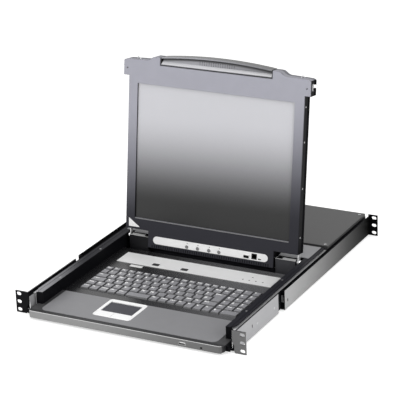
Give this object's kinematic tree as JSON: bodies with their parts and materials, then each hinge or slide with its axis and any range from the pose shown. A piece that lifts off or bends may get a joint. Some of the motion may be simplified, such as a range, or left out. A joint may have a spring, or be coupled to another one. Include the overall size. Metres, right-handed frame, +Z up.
{
  "type": "rackmount lcd console drawer",
  "caption": "One-unit rack drawer with a folding flat screen, keyboard and touch pad on telescopic slides, and rear brackets that adjust to the rack's depth.",
  "frame": {"origin": "middle of the front rack hole pattern, on the rear face of the front ears, at half the height of the rack unit", "axes": "+X to the right as seen from the front, +Y to the back of the rack, +Z up"},
  "size_m": [0.48, 0.627, 0.4089],
  "materials": {
    "black_steel": "satin black powder coat",
    "grey_steel": "satin grey powder coat",
    "dark_grey_steel": "matte dark grey powder coat",
    "zinc_steel": "zinc plated",
    "bright_steel": "bright plated",
    "grey_plastic": "fine moulded grain",
    "silver_plastic": "satin silver paint",
    "silver_panel": "satin",
    "key_plastic": "fine moulded grain",
    "pad_plastic": "satin",
    "pad_dark": "fine matte",
    "button_plastic": "satin",
    "screen_glass": "anti-glare film over a metal-framed module",
    "board": "green solder mask",
    "black_plastic": "smooth moulded",
    "ball_steel": "polished"
  },
  "bodies": {
    "chassis": {"chassis_tray": "black_steel", "front_ear_left": "black_steel", "front_ear_right": "grey_steel", "slide_outer_left": "zinc_steel", "slide_outer_right": "zinc_steel", "guide_channels": "zinc_steel", "rear_cover": "dark_grey_steel", "rear_panel": "dark_grey_steel", "power_inlet": "black_plastic", "main_board": "board", "rear_sockets": "bright_steel", "power_supply": "zinc_steel"},
    "bracket_left": {"rear_bracket_left": "grey_steel"},
    "bracket_right": {"rear_bracket_right": "grey_steel"},
    "drawer": {"drawer_tray": "grey_steel", "slide_inner_left": "zinc_steel", "slide_inner_right": "zinc_steel", "rear_deck_plate": "grey_steel", "hinge_housings": "dark_grey_steel", "hinge_pins": "bright_steel", "front_lip": "grey_plastic", "palm_rest": "grey_plastic", "touchpad_surround": "pad_plastic", "touchpad": "pad_dark", "deck_frame": "grey_plastic", "key_base": "pad_dark", "port_panel": "silver_panel", "console_board": "board", "usb_socket": "bright_steel"},
    "middle_slides": {"slide_middle_left": "zinc_steel", "slide_middle_right": "zinc_steel"},
    "outer_cages": {"ball_cages_outer": "ball_steel"},
    "inner_cages": {"ball_cages_inner": "ball_steel"},
    "pad_button_left": {"touchpad_button_left": "pad_plastic"},
    "pad_button_right": {"touchpad_button_right": "pad_plastic"},
    "function_block": {"function_keys": "key_plastic"},
    "typing_block": {"typing_keys": "key_plastic"},
    "space_block": {"space_bar": "key_plastic"},
    "enter_block": {"enter_key": "key_plastic"},
    "arrow_block": {"arrow_keys": "key_plastic"},
    "keypad_block": {"keypad_keys": "key_plastic"},
    "port_left": {"port_button_left": "pad_dark"},
    "port_right": {"port_button_right": "pad_dark"},
    "reset": {"reset_button": "pad_dark"},
    "screen": {"lcd_front_frame": "silver_plastic", "lcd_back_cover": "silver_plastic", "lcd_panel": "screen_glass", "lcd_board": "board", "pull_handle": "silver_plastic", "hinge_arms": "zinc_steel", "control_strip": "pad_plastic", "control_sockets": "black_plastic"},
    "catch_slider_left": {"catch_left": "bright_steel"},
    "catch_slider_right": {"catch_right": "bright_steel"},
    "menu_button": {"control_button_menu": "button_plastic"},
    "up_button": {"control_button_up": "button_plastic"},
    "down_button": {"control_button_down": "button_plastic"},
    "select_button": {"control_button_select": "button_plastic"}
  },
  "joints": [
    {"name": "drawer_slide", "type": "slide", "parent": "chassis", "child": "drawer", "axis": [0, -1, 0], "range_m": [0, 0.4]},
    {"name": "middle_slide", "type": "slide", "parent": "chassis", "child": "middle_slides", "axis": [0, -1, 0], "range_m": [0, 0.2]},
    {"name": "outer_cage_roll", "type": "slide", "parent": "chassis", "child": "outer_cages", "axis": [0, -1, 0], "range_m": [0, 0.1]},
    {"name": "inner_cage_roll", "type": "slide", "parent": "chassis", "child": "inner_cages", "axis": [0, -1, 0], "range_m": [0, 0.3]},
    {"name": "bracket_slide_left", "type": "slide", "parent": "chassis", "child": "bracket_left", "axis": [0, 1, 0], "range_m": [-0.014, 0.11]},
    {"name": "bracket_slide_right", "type": "slide", "parent": "chassis", "child": "bracket_right", "axis": [0, 1, 0], "range_m": [-0.014, 0.11]},
    {"name": "pad_button_left_press", "type": "slide", "parent": "drawer", "child": "pad_button_left", "axis": [0, 0, -1], "range_m": [0, 0.0008], "stiffness_N_per_m": 1200},
    {"name": "pad_button_right_press", "type": "slide", "parent": "drawer", "child": "pad_button_right", "axis": [0, 0, -1], "range_m": [0, 0.0008], "stiffness_N_per_m": 1200},
    {"name": "function_keys_press", "type": "slide", "parent": "drawer", "child": "function_block", "axis": [0, 0, -1], "range_m": [0, 0.0025], "stiffness_N_per_m": 900},
    {"name": "typing_keys_press", "type": "slide", "parent": "drawer", "child": "typing_block", "axis": [0, 0, -1], "range_m": [0, 0.0025], "stiffness_N_per_m": 2500},
    {"name": "space_bar_press", "type": "slide", "parent": "drawer", "child": "space_block", "axis": [0, 0, -1], "range_m": [0, 0.0025], "stiffness_N_per_m": 300},
    {"name": "enter_key_press", "type": "slide", "parent": "drawer", "child": "enter_block", "axis": [0, 0, -1], "range_m": [0, 0.0025], "stiffness_N_per_m": 300},
    {"name": "arrow_keys_press", "type": "slide", "parent": "drawer", "child": "arrow_block", "axis": [0, 0, -1], "range_m": [0, 0.0025], "stiffness_N_per_m": 400},
    {"name": "keypad_keys_press", "type": "slide", "parent": "drawer", "child": "keypad_block", "axis": [0, 0, -1], "range_m": [0, 0.0025], "stiffness_N_per_m": 900},
    {"name": "port_button_left_press", "type": "slide", "parent": "drawer", "child": "port_left", "axis": [0, 0, -1], "range_m": [0, 0.001], "stiffness_N_per_m": 1000},
    {"name": "port_button_right_press", "type": "slide", "parent": "drawer", "child": "port_right", "axis": [0, 0, -1], "range_m": [0, 0.001], "stiffness_N_per_m": 1000},
    {"name": "reset_press", "type": "slide", "parent": "drawer", "child": "reset", "axis": [0, 1, 0], "range_m": [0, 0.0008], "stiffness_N_per_m": 1000},
    {"name": "screen_hinge", "type": "hinge", "parent": "drawer", "child": "screen", "pos_m": [0, 0.3413, 0.012], "axis": [1, 0, 0], "range_deg": [-16.8, 98.2]},
    {"name": "catch_left_slide", "type": "slide", "parent": "screen", "child": "catch_slider_left", "axis": [1, 0, 0], "range_m": [0, 0.003], "stiffness_N_per_m": 800},
    {"name": "catch_right_slide", "type": "slide", "parent": "screen", "child": "catch_slider_right", "axis": [-1, 0, 0], "range_m": [0, 0.003], "stiffness_N_per_m": 800},
    {"name": "menu_press", "type": "slide", "parent": "screen", "child": "menu_button", "axis": [0, 0.9898, -0.1426], "range_m": [0, 0.0007], "stiffness_N_per_m": 900},
    {"name": "up_press", "type": "slide", "parent": "screen", "child": "up_button", "axis": [0, 0.9898, -0.1426], "range_m": [0, 0.0007], "stiffness_N_per_m": 900},
    {"name": "down_press", "type": "slide", "parent": "screen", "child": "down_button", "axis": [0, 0.9898, -0.1426], "range_m": [0, 0.0007], "stiffness_N_per_m": 900},
    {"name": "select_press", "type": "slide", "parent": "screen", "child": "select_button", "axis": [0, 0.9898, -0.1426], "range_m": [0, 0.0007], "stiffness_N_per_m": 900}
  ],
  "couplings": [
    {"joint": "middle_slide", "follows": "drawer_slide", "ratio": 0.5},
    {"joint": "outer_cage_roll", "follows": "drawer_slide", "ratio": 0.25},
    {"joint": "inner_cage_roll", "follows": "drawer_slide", "ratio": 0.75}
  ]
}
